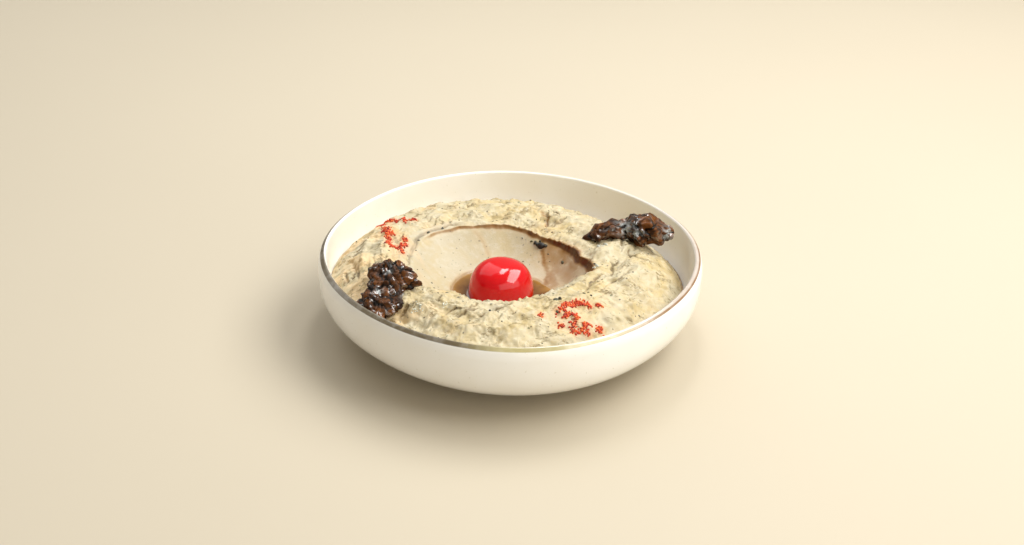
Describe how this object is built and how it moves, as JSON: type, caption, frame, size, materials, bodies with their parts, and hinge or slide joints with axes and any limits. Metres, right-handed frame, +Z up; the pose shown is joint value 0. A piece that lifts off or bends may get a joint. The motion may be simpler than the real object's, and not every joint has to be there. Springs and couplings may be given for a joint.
{
  "type": "bowl of hummus",
  "caption": "Low round stoneware bowl of thick cream dip with a spooned well, half a cherry tomato in oil, glazed walnut pieces and paprika.",
  "frame": {"origin": "middle of the bowl's outline, on the surface that its foot ring stands on", "axes": "+Z up out of the bowl; -Y is the side that faces the viewer in the picture, +X is its right"},
  "size_m": [0.1678, 0.1678, 0.0458],
  "materials": {
    "glaze": "glossy off-white glaze with a thin brown line on the outer edge of the lip",
    "dip": "thick cream-beige dip, rough and slightly moist, with dark flecks and paprika",
    "tomato": "smooth glossy red skin",
    "walnut": "dark brown, craggy, wet-looking glaze",
    "oil": "thin brown-gold oil, clear and glossy"
  },
  "bodies": {
    "root": {"bowl": "glaze", "dip": "dip", "tomato": "tomato", "oil_pool": "oil", "walnut_left": "walnut", "walnut_right": "walnut"}
  },
  "joints": []
}
